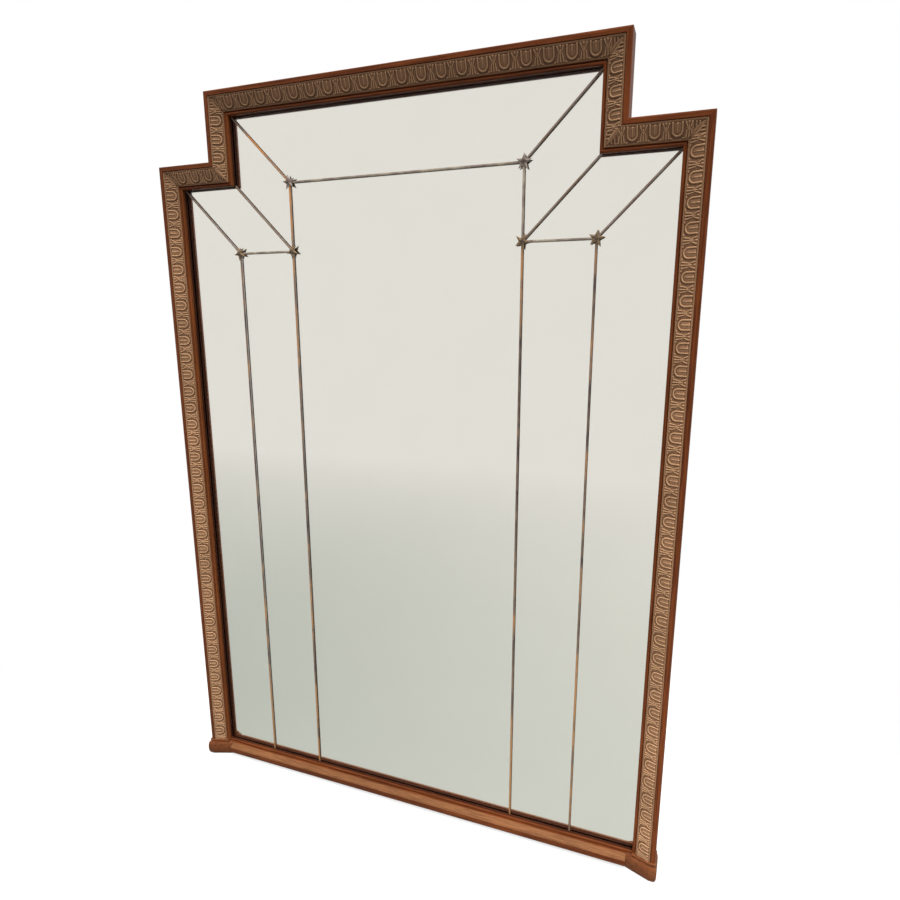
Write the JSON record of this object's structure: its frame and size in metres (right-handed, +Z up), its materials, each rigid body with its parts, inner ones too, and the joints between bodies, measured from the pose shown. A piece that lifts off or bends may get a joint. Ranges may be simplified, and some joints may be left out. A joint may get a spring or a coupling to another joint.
{
  "type": "wall mirror",
  "caption": "Stepped art deco wall mirror with a leaf-and-dart moulding, plinth blocks, mirror plates joined under metal beads with stars, and hinged hanger rings.",
  "frame": {"origin": "centre of the footprint, at the underside of the plinth blocks", "axes": "+X to the right as seen from the front, +Y towards the wall, +Z up; the glass faces -Y"},
  "size_m": [1.209, 0.0616, 1.668],
  "materials": {
    "frame_wood": "red-brown stain under satin varnish",
    "carved_band": "pale bronze finish with dark glaze in the hollows",
    "block_wood": "red-brown stain under satin varnish",
    "mirror_glass": "silvered plate glass",
    "seam_metal": "aged satin",
    "star_metal": "aged satin, toned like bronze",
    "pin_brass": "turned",
    "board": "bare board",
    "key_wood": "bare wood, glued in",
    "hardware_steel": "zinc plated",
    "pad_felt": "felt"
  },
  "bodies": {
    "frame": {"bottom_rail": "frame_wood", "left_stile": "frame_wood", "right_stile": "frame_wood", "left_shoulder_rail": "frame_wood", "right_shoulder_rail": "frame_wood", "left_riser": "frame_wood", "right_riser": "frame_wood", "top_rail": "frame_wood", "left_stile_carving": "carved_band", "right_stile_carving": "carved_band", "left_shoulder_carving": "carved_band", "right_shoulder_carving": "carved_band", "left_riser_carving": "carved_band", "right_riser_carving": "carved_band", "top_carving": "carved_band", "left_plinth": "block_wood", "right_plinth": "block_wood", "centre_plate": "mirror_glass", "top_plate": "mirror_glass", "left_riser_plate": "mirror_glass", "right_riser_plate": "mirror_glass", "left_shoulder_plate": "mirror_glass", "right_shoulder_plate": "mirror_glass", "left_outer_plate": "mirror_glass", "right_outer_plate": "mirror_glass", "left_inner_plate": "mirror_glass", "right_inner_plate": "mirror_glass", "top_bead": "seam_metal", "left_top_diagonal_bead": "seam_metal", "right_top_diagonal_bead": "seam_metal", "left_short_bead": "seam_metal", "right_short_bead": "seam_metal", "left_step_diagonal_bead": "seam_metal", "right_step_diagonal_bead": "seam_metal", "left_shoulder_bead": "seam_metal", "right_shoulder_bead": "seam_metal", "left_outer_diagonal_bead": "seam_metal", "right_outer_diagonal_bead": "seam_metal", "left_inner_bead": "seam_metal", "right_inner_bead": "seam_metal", "left_outer_bead": "seam_metal", "right_outer_bead": "seam_metal", "left_top_star": "star_metal", "right_top_star": "star_metal", "left_inner_star": "star_metal", "right_inner_star": "star_metal", "left_outer_star": "star_metal", "right_outer_star": "star_metal", "star_pins": "pin_brass", "mitre_keys": "key_wood", "backing_board": "board", "retaining_plates": "hardware_steel", "retaining_screws": "hardware_steel", "left_hanger_strap": "hardware_steel", "right_hanger_strap": "hardware_steel", "hanger_screws": "hardware_steel", "wall_pads": "pad_felt"},
    "left_ring": {"left_hanger_ring": "hardware_steel"},
    "right_ring": {"right_hanger_ring": "hardware_steel"}
  },
  "joints": [
    {"name": "left_ring_hinge", "type": "hinge", "parent": "frame", "child": "left_ring", "pos_m": [-0.579, 0.02645, 1.243], "axis": [1, 0, 0], "range_deg": [0, 180]},
    {"name": "right_ring_hinge", "type": "hinge", "parent": "frame", "child": "right_ring", "pos_m": [0.579, 0.02645, 1.243], "axis": [1, 0, 0], "range_deg": [0, 180]}
  ]
}
